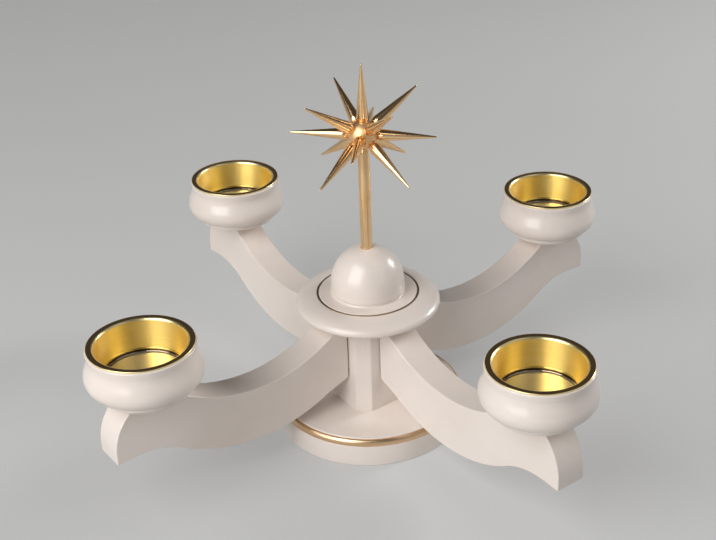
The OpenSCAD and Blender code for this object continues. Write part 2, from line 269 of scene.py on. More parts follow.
class StageSettings(bpy.types.PropertyGroup):
    camera: FloatVectorProperty(
        name="Camera", description="Place of the camera", subtype="TRANSLATION", unit="LENGTH",
        default=(-0.3394, -0.4694, 0.4074),
    )
    heading: angle("Heading", 39.65, "Heading of the camera, clockwise from +Y")
    pitch: angle("Pitch", math.degrees(0.503), "How far the camera looks down")
    lens: FloatProperty(name="Lens", description="Focal length in mm", default=63.08, min=10.0)
    shift: FloatProperty(name="Shift", description="Sideways shift of the frame", default=-0.1145)
    floor: paint("Floor", (0.56, 0.56, 0.555), "Colour of the floor")
    haze: paint("Haze", (0.76, 0.76, 0.75), "Colour towards which the floor pales")
    haze_amount: share("Haze amount", 0.3, "How far the floor pales")
    key: power("Key", 18.5, "Power of the soft lamp on the left")
    kicker: power("Kicker", 7.6, "Power of the small lamp at the back right")
    side: power("Side", 1.8, "Power of the soft lamp high on the right")
    room: share("Room", 0.05, "Brightness of the room round the stage")


class HolderSettings(bpy.types.PropertyGroup):
    base: PointerProperty(type=BaseSizes)
    post: PointerProperty(type=PostSizes)
    arm: PointerProperty(type=ArmSizes)
    collar: PointerProperty(type=CollarSizes)
    dome: PointerProperty(type=DomeSizes)
    cup: PointerProperty(type=CupSizes)
    liner: PointerProperty(type=LinerSizes)
    star: PointerProperty(type=StarSizes)
    finish: PointerProperty(type=Finishes)
    stage: PointerProperty(type=StageSettings)


# Node trees

class Wire:
    """A node's output that takes part in arithmetic: each operation adds a Math node."""

    def __init__(self, wiring, socket):
        self.wiring = wiring
        self.socket = socket

    def math(self, operation, first, second):
        return self.wiring.node("ShaderNodeMath", {"operation": operation}, {0: first, 1: second})

    def __add__(self, other):
        return self.math("ADD", self, other)

    def __sub__(self, other):
        return self.math("SUBTRACT", self, other)

    def __mul__(self, other):
        return self.math("MULTIPLY", self, other)

    def __truediv__(self, other):
        return self.math("DIVIDE", self, other)

    def __radd__(self, other):
        return self.math("ADD", other, self)

    def __rsub__(self, other):
        return self.math("SUBTRACT", other, self)

    def __rmul__(self, other):
        return self.math("MULTIPLY", other, self)

    def __rtruediv__(self, other):
        return self.math("DIVIDE", other, self)

    def __gt__(self, other):
        return self.math("GREATER_THAN", self, other)

    def __lt__(self, other):
        return self.math("LESS_THAN", self, other)

    def floor(self):
        return self.math("FLOOR", self, 0.0)

    def cosine(self):
        return self.math("COSINE", self, 0.0)

    def sine(self):
        return self.math("SINE", self, 0.0)


class Wiring:
    """Builds a node tree, one node at a time."""

    def __init__(self, tree):
        self.tree = tree

    def node(self, kind, settings=None, sockets=None, out=0):
        """A node of a kind, with its settings set first and then its sockets, which are given by
        name, identifier or number. Returns the wire from one of its outputs."""
        made = self.tree.nodes.new(kind)
        for key, value in (settings or {}).items():
            setattr(made, key, value)
        for key, value in (sockets or {}).items():
            socket = self.socket(made.inputs, key)
            if isinstance(value, Wire):
                self.tree.links.new(value.socket, socket)
            else:
                socket.default_value = value
        return Wire(self, self.socket(made.outputs, out)) if made.outputs else None

    @staticmethod
    def socket(sockets, key):
        if isinstance(key, int):
            return sockets[key]
        found = [s for s in sockets if s.identifier == key] or [s for s in sockets if s.name == key]
        return found[0]

    def noise(self, vector, scale, detail=2.0, rough=0.5):
        return self.node(
            "ShaderNodeTexNoise", {},
            {"Vector": vector, "Scale": scale, "Detail": detail, "Roughness": rough},
        )

    def blend(self, factor, first, second):
        return self.node(
            "ShaderNodeMix", {"data_type": "RGBA"},
            {"Factor_Float": factor, "A_Color": first, "B_Color": second}, "Result_Color",
        )

    def spread(self, value, start, end, first=0.0, last=1.0):
        """A value carried softly from one range to another, held at the ends."""
        return self.node("ShaderNodeMapRange", {"interpolation_type": "SMOOTHSTEP"}, {
            "Value": value, "From Min": start, "From Max": end, "To Min": first, "To Max": last,
        })


class Finish(Wiring):
    """A material with a Principled surface, whose constants are set on its own sockets. One that
    is there already is wired anew, so that a changed colour shows wherever it is used."""

    def __init__(self, name):
        self.material = bpy.data.materials.get(name) or bpy.data.materials.new(name)
        self.material.use_nodes = True
        super().__init__(self.material.node_tree)
        self.tree.nodes.clear()
        self.where = self.node("ShaderNodeTexCoord", out="Object")
        self.grain = self.node("ShaderNodeAttribute", {"attribute_name": "grain"}, out="Vector")

    def height(self):
        return self.node("ShaderNodeSeparateXYZ", {}, {"Vector": self.where}, "Z")

    def bump(self, value, strength, distance):
        return self.node(
            "ShaderNodeBump", {}, {"Height": value, "Strength": strength, "Distance": distance}
        )

    def surface(self, sockets, over=None, amount=None):
        """A Principled surface, with an amount of another shader over it where one is given."""
        shader = self.node("ShaderNodeBsdfPrincipled", {}, sockets)
        if over:
            shader = self.node("ShaderNodeMixShader", {}, {"Fac": amount, 1: shader, 2: over})
        self.node("ShaderNodeOutputMaterial", {}, {"Surface": shader})
        return self.material


def rgba(colour):
    return (*colour, 1.0)


def lacquer():
    """Cream satin lacquer over wood: faint clouds, a trace of grain or turning, fine spray."""
    colours = bpy.context.scene.holder.finish
    f = Finish("cream_lacquer")
    clouds = f.noise(f.where, 26.0, 3.0)
    fibres = f.noise(f.grain, 1.0, 3.0, 0.6)
    spray = f.noise(f.where, 1500.0, 2.0)
    deep = f.spread(clouds * 0.75 + fibres * 0.25, 0.35, 0.7)
    return f.surface({
        "Base Color": f.blend(deep, rgba(colours.cream), rgba(colours.cream_deep)),
        "Roughness": 0.24 + 0.1 * clouds + 0.06 * fibres,
        "Coat Weight": 0.35 + 0.15 * clouds,
        "Coat Roughness": 0.12,
        "Normal": f.bump(spray * 0.5 + fibres * 0.5, 0.12, 0.00012),
    })


def gold_sheet():
    """Gold liner: a satin wall with fine drawn rings, a roll at the mouth painted a paler gold
    as a painted highlight, a mirror-like flange, and a polished floor with painted shade, a
    near-black colour, on the corner step round it. The blur across the rings draws a lamp out
    into an upright band, as on drawn metal."""
    colours = bpy.context.scene.holder.finish
    liner = bpy.context.scene.holder.liner
    f = Finish("gold_sheet")
    rings = f.noise(f.grain, 1.0, 3.0, 0.65)
    clouds = f.noise(f.where, 90.0, 2.0)
    height = f.height()
    floor = liner.bottom + liner.sheet
    step = floor + liner.step
    above_floor = f.spread(height, floor + 0.02 * MM, floor + 0.1 * MM)
    above_step = f.spread(height, step - 0.25 * MM, step)
    above_ledge = f.spread(height, step + liner.ledge, step + 2 * liner.ledge)
    roll = f.spread(height, liner.top - 0.9 * liner.roll, liner.top - 0.5 * liner.roll)
    flange = f.spread(height, liner.top - 0.12 * MM, liner.top - 0.02 * MM)
    streaks = f.spread(rings * 0.6 + clouds * 0.4, 0.35, 0.75)
    colour = f.blend(streaks, rgba(colours.gold), rgba(colours.gold_deep))
    # Painted shade: below the step's top the near-black corner colour stands in for the shade in
    # the corner round the floor
    colour = f.blend(above_step, rgba(colours.corner), colour)
    colour = f.blend(above_floor, rgba(colours.floor), colour)
    # Painted highlight: the roll at the mouth takes the paler rolled gold
    colour = f.blend(roll, colour, rgba(colours.roll))
    rough = 0.09 + above_floor * 0.13 + above_ledge * 0.22 - roll * 0.12 - flange * 0.22
    return f.surface({
        "Base Color": f.blend(flange, colour, rgba(colours.flange)),
        "Metallic": 0.82 + above_floor * 0.18,
        "Roughness": rough + rings * 0.06,
        "Anisotropic": 0.5,
        "Anisotropic Rotation": 0.25,
        "Normal": f.bump(rings, 0.08, 0.00006),
    })


def metal(name, colour, deep, rough):
    """Polished metal with fine streaks that follow the piece, and a breath of tarnish."""
    f = Finish(name)
    streaks = f.noise(f.grain, 1.0, 3.0, 0.6)
    clouds = f.noise(f.where, 120.0, 3.0)
    tarnish = f.spread(streaks * 0.5 + clouds * 0.5, 0.4, 0.75, 0.0, 0.5)
    return f.surface({
        "Base Color": f.blend(tarnish, rgba(colour), rgba(deep)),
        "Metallic": 1.0,
        "Roughness": rough + 0.10 * streaks + 0.05 * clouds,
        "Normal": f.bump(streaks, 0.12, 0.00008),
    })


def brass():
    colours = bpy.context.scene.holder.finish
    return metal("polished_brass", colours.brass, colours.brass_deep, 0.12)


def cast_brass():
    """The ball's brass, duller than the turned spikes round it."""
    colours = bpy.context.scene.holder.finish
    return metal("cast_brass", colours.brass, colours.brass_deep, 0.40)


def gilt():
    colours = bpy.context.scene.holder.finish
    return metal("gilt_band", colours.gilt, colours.brass_deep, 0.22)


# Darker gilt for the collar ring: partly its own gold-brown paint, partly painted shade of its
# groove
def dark_gilt():
    colours = bpy.context.scene.holder.finish
    return metal("dark_gilt", colours.ring, [0.6 * c for c in colours.ring], 0.24)


def steel():
    """Zinc-plated screw steel with faint blotches."""
    colours = bpy.context.scene.holder.finish
    return metal("plated_steel", colours.zinc, colours.zinc_deep, 0.24)


def beech():
    """Plain beech dowel: short darker flecks on a warm ground."""
    colours = bpy.context.scene.holder.finish
    f = Finish("plain_beech")
    flecks = f.noise(f.where, 900.0, 3.0, 0.7)
    ground = f.noise(f.where, 130.0, 3.0)
    deep = f.spread(flecks * 0.6 + ground * 0.4, 0.4, 0.65)
    return f.surface({
        "Base Color": f.blend(deep, rgba(colours.wood), rgba(colours.wood_deep)),
        "Roughness": 0.55 + 0.2 * flecks,
        "Normal": f.bump(flecks, 0.2, 0.0002),
    })


def matt_floor():
    """Matt paper that looks paler to the camera and in mirrors, yet lights the piece no more."""
    s = bpy.context.scene.holder.stage
    f = Finish("pale_floor")
    paper = f.noise(f.where, 700.0, 3.0)
    clouds = f.noise(f.where, 3.0, 2.0)
    deep = f.spread(paper * 0.5 + clouds * 0.5, 0.3, 0.7)
    haze = f.node("ShaderNodeEmission", {}, {"Color": rgba(s.haze)})
    camera, mirror, glass = (
        f.node("ShaderNodeLightPath", out=f"Is {kind} Ray")
        for kind in ("Camera", "Glossy", "Transmission")
    )
    return f.surface({
        "Base Color": f.blend(deep, rgba(s.floor), rgba([0.94 * c for c in s.floor])),
        "Roughness": 0.85,
        "Specular IOR Level": 0.2,
    }, haze, (camera + mirror + glass) * s.haze_amount)


# Shapes

def arc(centre, radii, start, stop, steps=10):
    """Points on part of an ellipse, from one angle in degrees to another."""
    points = []
    for k in range(steps + 1):
        a = math.radians(start + (stop - start) * k / steps)
        points.append((centre[0] + radii[0] * math.cos(a), centre[1] + radii[1] * math.sin(a)))
    return points


def ogee(first, last, steps=18):
    """Points on a soft S-curve that is upright at both ends."""
    points = []
    for k in range(steps + 1):
        part = k / steps
        points.append((
            first[0] + (last[0] - first[0]) * (1 - math.cos(math.pi * part)) / 2,
            first[1] + (last[1] - first[1]) * part,
        ))
    return points


def turn(name, outline, centre=ORIGIN, around=144, across=ACROSS, lengthwise=False):
    """Mesh turned from an outline of (radius, height) points that runs up the outside. Ends on
    the axis become poles, and an outline that stays off the axis is closed. Its grain attribute
    runs round the piece as a turner's marks do, or lengthwise as on a drawn rod."""
    bm = bmesh.new()
    rings, marks = [], []
    run = 0.0
    last = outline[0]
    widest = max(radius for radius, _ in outline)
    for radius, height in outline:
        run += math.hypot(radius - last[0], height - last[1])
        last = (radius, height)
        count = 1 if radius < TINY else around
        ring = []
        for k in range(count):
            a = 2 * math.pi * k / count
            c, s = math.cos(a), math.sin(a)
            spot = (centre.x + radius * c, centre.y + radius * s, centre.z + height)
            ring.append(bm.verts.new(spot))
            if lengthwise:
                marks += [c * widest * across, s * widest * across, run * ALONG]
            else:
                marks += [c * radius * ALONG, s * radius * ALONG, run * across]
        rings.append(ring)
    pairs = list(zip(rings, rings[1:]))
    if all(radius > TINY for radius, _ in outline):
        pairs.append((rings[-1], rings[0]))
    for lower, upper in pairs:
        for k in range(around):
            j = (k + 1) % around
            corners = (lower, k), (lower, j), (upper, j), (upper, k)
            bm.faces.new(dict.fromkeys(ring[i % len(ring)] for ring, i in corners))
    bmesh.ops.recalc_face_normals(bm, faces=bm.faces)
    mesh = mesh_from(name, bm)
    mark_grain(mesh, marks)
    soften(mesh)
    return mesh


def extrude(bm, face):
    """Extrudes a face, and returns the new vertices, which still lie on the old ones."""
    made = bmesh.ops.extrude_face_region(bm, geom=[face])["geom"]
    return [v for v in made if isinstance(v, bmesh.types.BMVert)]


def mesh_from(name, bm):
    mesh = bpy.data.meshes.new(name)
    bm.to_mesh(mesh)
    bm.free()
    return mesh


def mark_grain(mesh, marks):
    layer = mesh.attributes.new("grain", "FLOAT_VECTOR", "POINT")
    layer.data.foreach_set("vector", marks)


def soften(mesh, sharp=32.0):
    """Smooth shading, with the edges that turn by more than an angle in degrees left sharp."""
    mesh.shade_smooth()
    mesh.set_sharp_from_angle(angle=math.radians(sharp))


def add_object(name, data):
    """A new object in the scene. An older one of the name is removed."""
    old = bpy.data.objects.get(name)
    if old:
        bpy.data.objects.remove(old)
    made = bpy.data.objects.new(name, data)
    bpy.context.scene.collection.objects.link(made)
    return made


def place(name, mesh, material):
    """A new object for a mesh that already lies where it belongs."""
    mesh.materials.clear()
    mesh.materials.append(material)
    return add_object(name, mesh)


def turned(name, outline, material, **options):
    """A piece turned from an outline, with the options of turn()."""
    return place(name, turn(name, outline, **options), material)


def stand_for(piece, body, slot, *nodes):
    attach(piece, body)
    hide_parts(*nodes)


def bake_modifiers(piece):
    """Turns what the modifiers make into the piece's own mesh."""
    bpy.context.view_layer.update()
    graph = bpy.context.evaluated_depsgraph_get()
    mesh = bpy.data.meshes.new_from_object(
        piece.evaluated_get(graph), preserve_all_data_layers=True, depsgraph=graph
    )
    piece.modifiers.clear()
    piece.data = mesh


def finish_edges(piece):
    """Weighted normals, so that the broad faces stay flat between their rounded edges."""
    weigh = piece.modifiers.new("weigh", "WEIGHTED_NORMAL")
    weigh.keep_sharp = True
    bake_modifiers(piece)


# Geometry Nodes

def tree_with(name, inputs):
    """A geometry tree with a Geometry input and output and further inputs, as {name: type}."""
    tree = bpy.data.node_groups.new(name, "GeometryNodeTree")
    tree.is_modifier = True
    for way in ("INPUT", "OUTPUT"):
        tree.interface.new_socket("Geometry", in_out=way, socket_type="NodeSocketGeometry")
    for key, kind in inputs.items():
        tree.interface.new_socket(key, in_out="INPUT", socket_type=kind)
    return tree


def run_tree(name, source, tree, values):
    """A piece made by a geometry tree from a source mesh, turned into a plain mesh."""
    piece = place(name, source.copy(), values["Material"])
    modifier = piece.modifiers.new("nodes", "NODES")
    modifier.node_group = tree
    for socket in tree.interface.items_tree:
        if socket.item_type == "SOCKET" and socket.in_out == "INPUT" and socket.name in values:
            modifier[socket.identifier] = values[socket.name]
    bake_modifiers(piece)
    return piece


def set_out(w, part, spots, heading, material):
    """The part at every spot, turned to its heading, made solid and given its material."""
    copies = w.node("GeometryNodeInstanceOnPoints", {}, {
        "Points": spots, "Instance": part, "Rotation": heading,
    })
    solid = w.node("GeometryNodeRealizeInstances", {}, {"Geometry": copies})
    painted = w.node("GeometryNodeSetMaterial", {}, {"Geometry": solid, "Material": material})
    w.node("NodeGroupOutput", {}, {"Geometry": painted})


def side_tree():
    """Carries a part from the right arm to one of the four sides."""
    name = "part_on_a_side"
    if name in bpy.data.node_groups:
        return bpy.data.node_groups[name]
    tree = tree_with(name, {
        "Side": "NodeSocketInt", "Sides": "NodeSocketInt", "Material": "NodeSocketMaterial",
    })
    w = Wiring(tree)
    given = tree.nodes.new("NodeGroupInput")
    part, side, sides, material = (Wire(w, s) for s in given.outputs[:4])
    step = 2 * math.pi / sides
    heading = w.node("ShaderNodeCombineXYZ", {}, {"Z": side * step})
    spot = w.node("GeometryNodePoints", {}, {"Count": 1})
    set_out(w, part, spot, heading, material)
    return tree


def on_each_side(name, mesh, material):
    """Yields the name of each side and the piece there, made from the mesh of the right one."""
    for number, side in enumerate(SIDES):
        values = {"Side": number, "Sides": len(SIDES), "Material": material}
        yield side, run_tree(f"{name}_{side}", mesh, side_tree(), values)


def star_tree():
    """Sets spikes round the middle of a star: a ring of them that slants up, a level ring, a
    ring that slants down, and one that stands upright."""
    name = "spikes_of_a_star"
    if name in bpy.data.node_groups:
        return bpy.data.node_groups[name]
    tree = tree_with(name, {
        "Middle": "NodeSocketFloat", "Spikes a ring": "NodeSocketInt", "Tilt": "NodeSocketFloat",
        "Turn": "NodeSocketFloat", "Material": "NodeSocketMaterial",
    })
    w = Wiring(tree)
    given = tree.nodes.new("NodeGroupInput")
    spike, middle, in_ring, tilt, turned, material = (Wire(w, s) for s in given.outputs[:6])
    number = w.node("GeometryNodeInputIndex")
    ring = (number / in_ring).floor()
    level = (ring > 0.5) * (ring < 1.5)
    upright = ring > 2.5
    step = 2 * math.pi / in_ring
    azimuth = number * step + (ring - 1.0) * turned + level * step * 0.5
    elevation = (1.0 - upright) * (1.0 - ring) * tilt + upright * (math.pi / 2)
    aim = w.node("ShaderNodeCombineXYZ", {}, {
        "X": azimuth.cosine() * elevation.cosine(),
        "Y": azimuth.sine() * elevation.cosine(),
        "Z": elevation.sine(),
    })
    centre = w.node("ShaderNodeCombineXYZ", {}, {"Z": middle})
    spots = w.node("GeometryNodePoints", {}, {"Count": in_ring * 3.0 + 1.0, "Position": centre})
    heading = w.node("FunctionNodeAlignRotationToVector", {"axis": "Z"}, {"Vector": aim})
    set_out(w, spike, spots, heading, material)
    return tree


# Pieces

class HOLDER_OT_base(bpy.types.Operator):
    """Turn the base disc and the gold band let into its edge"""

    bl_idname = "holder.base"
    bl_label = "Base"

    def execute(self, context):
        s = context.scene.holder.base
        recess, edge, flat, side = 0.8 * MM, 0.2 * MM, 0.4 * MM, 0.3 * MM
        band_in = s.band_out - s.band_width
        disc = [(SCREW_HEAD, 0.0)]
        disc += arc((s.radius - s.edge, s.edge), (s.edge, s.edge), -90, 0)
        disc += arc((s.band_out - edge, s.band_low - edge), (edge, edge), 0, 90, 4)
        disc += [(band_in, s.band_low)]
        disc += arc((band_in - s.edge, s.height - s.edge), (s.edge, s.edge), 0, 90)
        disc += [
            (SCREW_HOLE, s.height), (SCREW_HOLE, recess + SCREW_SINK), (SCREW_HEAD, recess),
        ]
        piece = turned("lacquered_base", disc, lacquer(), around=LARGE)
        stand_for(piece, "stand", "lacquer", "base")
        foot = s.band_low + FIT
        band = [(band_in + EASY_FIT, foot), (s.band_out - edge, foot)]
        band += arc(
            (band_in + flat, s.band_low + side),
            (s.band_width - flat, s.band_high - s.band_low - side), 0, 90, 18,
        )
        band += [(band_in + EASY_FIT, s.band_high)]
        piece = turned("gilt_base_band", band, gilt(), around=LARGE)
        stand_for(piece, "stand", "brass", "base_band")
        return {"FINISHED"}


class HOLDER_OT_post(bpy.types.Operator):
    """Plane the square post with its chamfered corners"""

    bl_idname = "holder.post"
    bl_label = "Post"

    def execute(self, context):
        s = context.scene.holder.post
        flat = s.half - s.chamfer
        outline = [
            (s.half, -flat), (s.half, flat), (flat, s.half), (-flat, s.half),
            (-s.half, flat), (-s.half, -flat), (-flat, -s.half), (flat, -s.half),
        ]
        bottom, top = low("post").z, high("post").z
        bm = bmesh.new()
        foot = [bm.verts.new((x, y, bottom)) for x, y in outline]
        for vert in extrude(bm, bm.faces.new(foot[::-1])):
            vert.co.z = top
        bmesh.ops.recalc_face_normals(bm, faces=bm.faces)
        long_edges = [e for e in bm.edges if abs(e.verts[0].co.z - e.verts[1].co.z) > TINY]
        bmesh.ops.bevel(
            bm, geom=long_edges, offset=s.edge, segments=4, profile=0.5, affect="EDGES"
        )
        mesh = mesh_from("lacquered_post", bm)
        mark_grain(mesh, [
            n for v in mesh.vertices for n in (ACROSS * v.co.x, ACROSS * v.co.y, ALONG * v.co.z)
        ])
        soften(mesh)
        piece = place("lacquered_post", mesh, lacquer())
        finish_edges(piece)
        stand_for(piece, "stand", "lacquer", "post")
        return {"FINISHED"}


def arm_outline(s):
    """Side view of the right arm as (distance from the middle, height) points, anticlockwise
    from the post: out along the lower edge, round the nose, and back along the upper edge."""
    straight, slope, valley_share = 13.4 * MM, 0.34, 0.55
    high_valley = s.bottom + s.depth
    seat_z = low("cup_right").z
    seat_in, seat_out = s.reach - s.seat, s.reach + s.seat
    valley = valley_share * s.reach
    across, rise = seat_in - valley, seat_z - high_valley
    upper_r = (across ** 2 + rise ** 2) / (2 * rise)
    hump_x = s.reach + s.hump_out
    hump_z = s.bottom + s.hump_rise
    hump_dx = hump_x - valley
    inner = s.hump_radius - s.hump_rise
    lower_r = (hump_dx ** 2 + inner ** 2 - s.hump_radius ** 2) / (2 * (s.hump_radius - inner))
    turn_x = valley + hump_dx * lower_r / (lower_r + s.hump_radius)
    start_x = low("arm_right").x + straight
    run = s.tip - hump_x
    tip_r = (run ** 2 + s.tip_drop ** 2) / (2 * s.tip_drop)
    nose_x = s.tip - s.nose_radius
    nose_z = seat_z - math.sqrt(s.nose_radius ** 2 - (seat_out - nose_x) ** 2)
    inner_x = s.start + s.joint

    def over(x0, x1, centre_x, centre_z, radius, sign, steps):
        points = []
        for k in range(steps + 1):
            x = x0 + (x1 - x0) * k / steps
            points.append((x, centre_z + sign * math.sqrt(radius ** 2 - (x - centre_x) ** 2)))
        return points

    lower_z = s.bottom + lower_r
    lower = over(start_x, turn_x, valley, lower_z, lower_r, -1, 40)
    start_z = lower[0][1]
    points = [(inner_x, start_z + (start_x - inner_x) * slope)] + lower
    points += over(turn_x, hump_x, hump_x, hump_z - s.hump_radius, s.hump_radius, 1, 14)[1:]
    points += over(hump_x, s.tip, hump_x, hump_z - tip_r, tip_r, 1, 6)[1:]
    nose_turn = math.degrees(math.acos((seat_out - nose_x) / s.nose_radius))
    points += arc((nose_x, nose_z), (s.nose_radius, s.nose_radius), 0, nose_turn, 14)
    points += [(seat_in, seat_z)]
    upper_z = high_valley + upper_r
    top_x = valley - math.sqrt(upper_r ** 2 - (upper_z - s.top) ** 2)
    points += over(seat_in, top_x, valley, upper_z, upper_r, -1, 40)[1:]
    if top_x > inner_x + 0.1 * MM:
        points.append((inner_x, s.top))
    return points


class HOLDER_OT_arms(bpy.types.Operator):
    """Saw the S-shaped arms and set one on each side of the post"""

    bl_idname = "holder.arms"
    bl_label = "Arms"

    def execute(self, context):
        s = context.scene.holder.arm
        joint_in, grain_lean = 4.5 * MM, 0.8
        bm = bmesh.new()
        board = [bm.verts.new((x, -s.half_width, z)) for x, z in arm_outline(s)]
        for vert in extrude(bm, bm.faces.new(board)):
            vert.co.y = s.half_width
        bmesh.ops.recalc_face_normals(bm, faces=bm.faces)
        sharp = [e for e in bm.edges if e.calc_face_angle() > math.radians(20)]
        bmesh.ops.bevel(bm, geom=sharp, offset=s.edge, segments=3, profile=0.5, affect="EDGES")
        inner_x = s.start + s.joint
        ends = [f for f in bm.faces if all(abs(v.co.x - inner_x) < TINY for v in f.verts)]
        end = max(ends, key=lambda f: f.calc_area())
        bmesh.ops.inset_individual(bm, faces=[end], thickness=joint_in, use_even_offset=True)
        bmesh.ops.translate(bm, vec=(-s.joint, 0.0, 0.0), verts=extrude(bm, end))
        if end.is_valid:
            bmesh.ops.delete(bm, geom=[end], context="FACES")
        bmesh.ops.recalc_face_normals(bm, faces=bm.faces)
        mesh = mesh_from("arm_blank", bm)
        mark_grain(mesh, [
            n for v in mesh.vertices
            for n in (ALONG * v.co.x, 0.0, ACROSS * (v.co.z + grain_lean * v.co.y))
        ])
        soften(mesh)
        blank = place("arm_blank", mesh, lacquer())
        finish_edges(blank)
        for side, piece in on_each_side("lacquered_arm", blank.data, lacquer()):
            stand_for(piece, "stand", "lacquer", f"arm_{side}")
        bpy.data.objects.remove(blank)
        return {"FINISHED"}


class HOLDER_OT_collar(bpy.types.Operator):
    """Turn the collar and the thin gold ring in its groove"""

    bl_idname = "holder.collar"
    bl_label = "Collar"

    def execute(self, context):
        s = context.scene.holder.collar
        dome = context.scene.holder.dome
        edge_rise, edge_w = 2.13 * MM, 2.6 * MM
        shoulder_in, shoulder_drop, shoulder_turn = 3.2 * MM, 0.2 * MM, 66
        groove_r, groove_drop, lip, hollow = 0.15 * MM, 0.13 * MM, 0.35 * MM, 0.16 * MM
        edge_z = s.bottom + edge_rise
        shoulder_r = s.ring_out - shoulder_in
        shoulder = (s.radius - shoulder_r, s.top - shoulder_drop - edge_z)
        ring_in = s.ring_out - s.ring_width
        hole = dome.tenon_radius + EASY_FIT
        disc = [(hole, s.bottom)]
        disc += arc((s.radius - edge_w, edge_z), (edge_w, edge_z - s.bottom), -90, 0, 14)
        disc += arc((shoulder_r, edge_z), shoulder, 0, shoulder_turn, 28)[1:]
        disc += arc(
            (s.ring_out + groove_r, s.ring_high - groove_drop), (groove_r, groove_r), 90, 180, 4
        )
        disc += [(s.ring_out, s.ring_low), (ring_in, s.ring_low)]
        disc += arc((ring_in - lip, s.top - lip), (lip, lip), 0, 90, 6)
        disc += [(hole, s.top)]
        piece = turned("lacquered_collar", disc, lacquer(), around=LARGE)
        stand_for(piece, "stand", "lacquer", "collar")
        half = s.ring_width / 2
        ring = [(ring_in + CLOSE_FIT, s.ring_low), (s.ring_out - CLOSE_FIT, s.ring_low)]
        for k in range(9):
            part = 2 * k / 8 - 1
            ring.append((
                s.ring_out - half - part * (half - CLOSE_FIT),
                s.ring_high - hollow * (1 - part ** 2),
            ))
        piece = turned("gilt_collar_ring", ring, dark_gilt(), around=LARGE)
        stand_for(piece, "stand", "brass", "collar_ring")
        return {"FINISHED"}


class HOLDER_OT_dome(bpy.types.Operator):
    """Turn the dome with its tenon and the hole for the rod"""

    bl_idname = "holder.dome"
    bl_label = "Dome"

    def execute(self, context):
        s = context.scene.holder.dome
        plate = context.scene.holder.collar.top
        side_in, side_rise, edge, cove_turn = 0.4 * MM, 5.5 * MM, 0.25 * MM, -38
        side_r = s.radius - side_in
        side_z = plate + side_rise
        foot_r, foot_z = s.radius - s.foot_in, plate + s.foot_height
        rise = (s.top - side_z) / math.sqrt(1 - (s.hole_radius / side_r) ** 2)
        rim_r = s.hole_radius + edge
        rim_turn = math.degrees(math.acos(rim_r / side_r))
        outline = [(0.0, s.tenon_low), (s.tenon_radius, s.tenon_low), (s.tenon_radius, plate)]
        c, d = math.cos(math.radians(cove_turn)), math.sin(math.radians(cove_turn))
        meet = Vector((foot_r + s.foot_in * c, foot_z + s.foot_height * d))
        away = Vector((c / s.foot_in, d / s.foot_height)).normalized()
        cove = (meet.y - plate) / (1 - away.y)
        centre = meet + cove * away
        cove_end = 180 + math.degrees(math.atan2(away.y, away.x))
        outline += arc(centre, (cove, cove), 270, cove_end, 8)
        outline += arc((foot_r, foot_z), (s.foot_in, s.foot_height), cove_turn, 0, 12)[1:]
        outline += arc((0.0, side_z), (side_r, rise), 0, rim_turn, 48)
        rim_z = outline[-1][1]
        outline += arc((rim_r, rim_z - edge), (edge, edge), 90, 180, 4)[1:]
        floor = context.scene.holder.star.rod_low
        outline += [(s.hole_radius, floor), (0.0, floor)]
        piece = turned("lacquered_dome", outline, lacquer(), around=LARGE)
        stand_for(piece, "stand", "lacquer", "dome")
        return {"FINISHED"}


class HOLDER_OT_cups(bpy.types.Operator):
    """Turn the cups and set one on each arm"""

    bl_idname = "holder.cups"
    bl_label = "Cups"

    def execute(self, context):
        s = context.scene.holder.cup
        bead_r, bead_h, lip_r = 0.6 * MM, s.foot_height / 2, 0.8 * MM
        groove = s.foot - s.groove
        widest_z = s.seat + s.belly_rise
        belly = (s.belly - groove, s.belly_rise - s.foot_height)
        outline = [(SCREW_HOLE, s.seat)]
        outline += arc((s.foot - bead_r, s.seat + bead_h), (bead_r, bead_h), -90, 90, 14)
        outline += arc((groove, widest_z), belly, -90, 0, 26)
        outline += ogee((s.belly, widest_z), (s.neck, s.seat + s.neck_rise), 24)[1:]
        outline += arc((s.lip - lip_r, s.top - lip_r), (lip_r, lip_r), 0, 90, 8)
        outline += [(s.bore, s.top), (s.bore, s.floor)]
        outline += [(SCREW_HEAD, s.floor), (SCREW_HOLE, s.floor - SCREW_SINK)]
        reach = context.scene.holder.arm.reach
        mesh = turn("cup_blank", outline, centre=Vector((reach, 0.0, 0.0)))
        for side, piece in on_each_side("lacquered_cup", mesh, lacquer()):
            stand_for(piece, "stand", "lacquer", f"cup_{side}")
        return {"FINISHED"}


class HOLDER_OT_liners(bpy.types.Operator):
    """Draw the gold tealight liners and drop one in each cup"""

    bl_idname = "holder.liners"
    bl_label = "Liners"

    def execute(self, context):
        s = context.scene.holder.liner
        floor = s.bottom + s.sheet
        seat = context.scene.holder.cup.top
        bend_out = s.bend + s.sheet
        edge, crease = 0.3 * MM, 0.2 * MM
        wall = s.floor_radius - crease
        outline = [(0.0, s.bottom)]
        outline += arc((s.floor_radius - s.bend, floor + s.bend), (bend_out, bend_out), -90, 0, 8)
        outline += [(s.mouth + s.sheet, seat), (s.flange - edge / 2, seat)]
        outline += arc((s.flange - edge, seat + edge), (edge, edge), -45, 0, 3)
        outline += arc((s.flange - edge, s.top - edge), (edge, edge), 0, 90, 5)
        outline += arc((s.mouth + s.roll, s.top - s.roll), (s.roll, s.roll), 90, 180, 14)
        outline += arc((wall, floor + s.step + s.ledge), (s.ledge, s.ledge), 0, -90, 6)
        outline += [(wall, floor + crease), (wall - crease, floor), (0.0, floor)]
        reach = context.scene.holder.arm.reach
        centre = Vector((reach, 0.0, 0.0))
        mesh = turn("liner_blank", outline, centre=centre, across=FINE_ACROSS)
        for side, piece in on_each_side("gold_liner", mesh, gold_sheet()):
            stand_for(piece, f"insert_{side}", "gold_insert", f"insert_{side}")
        return {"FINISHED"}


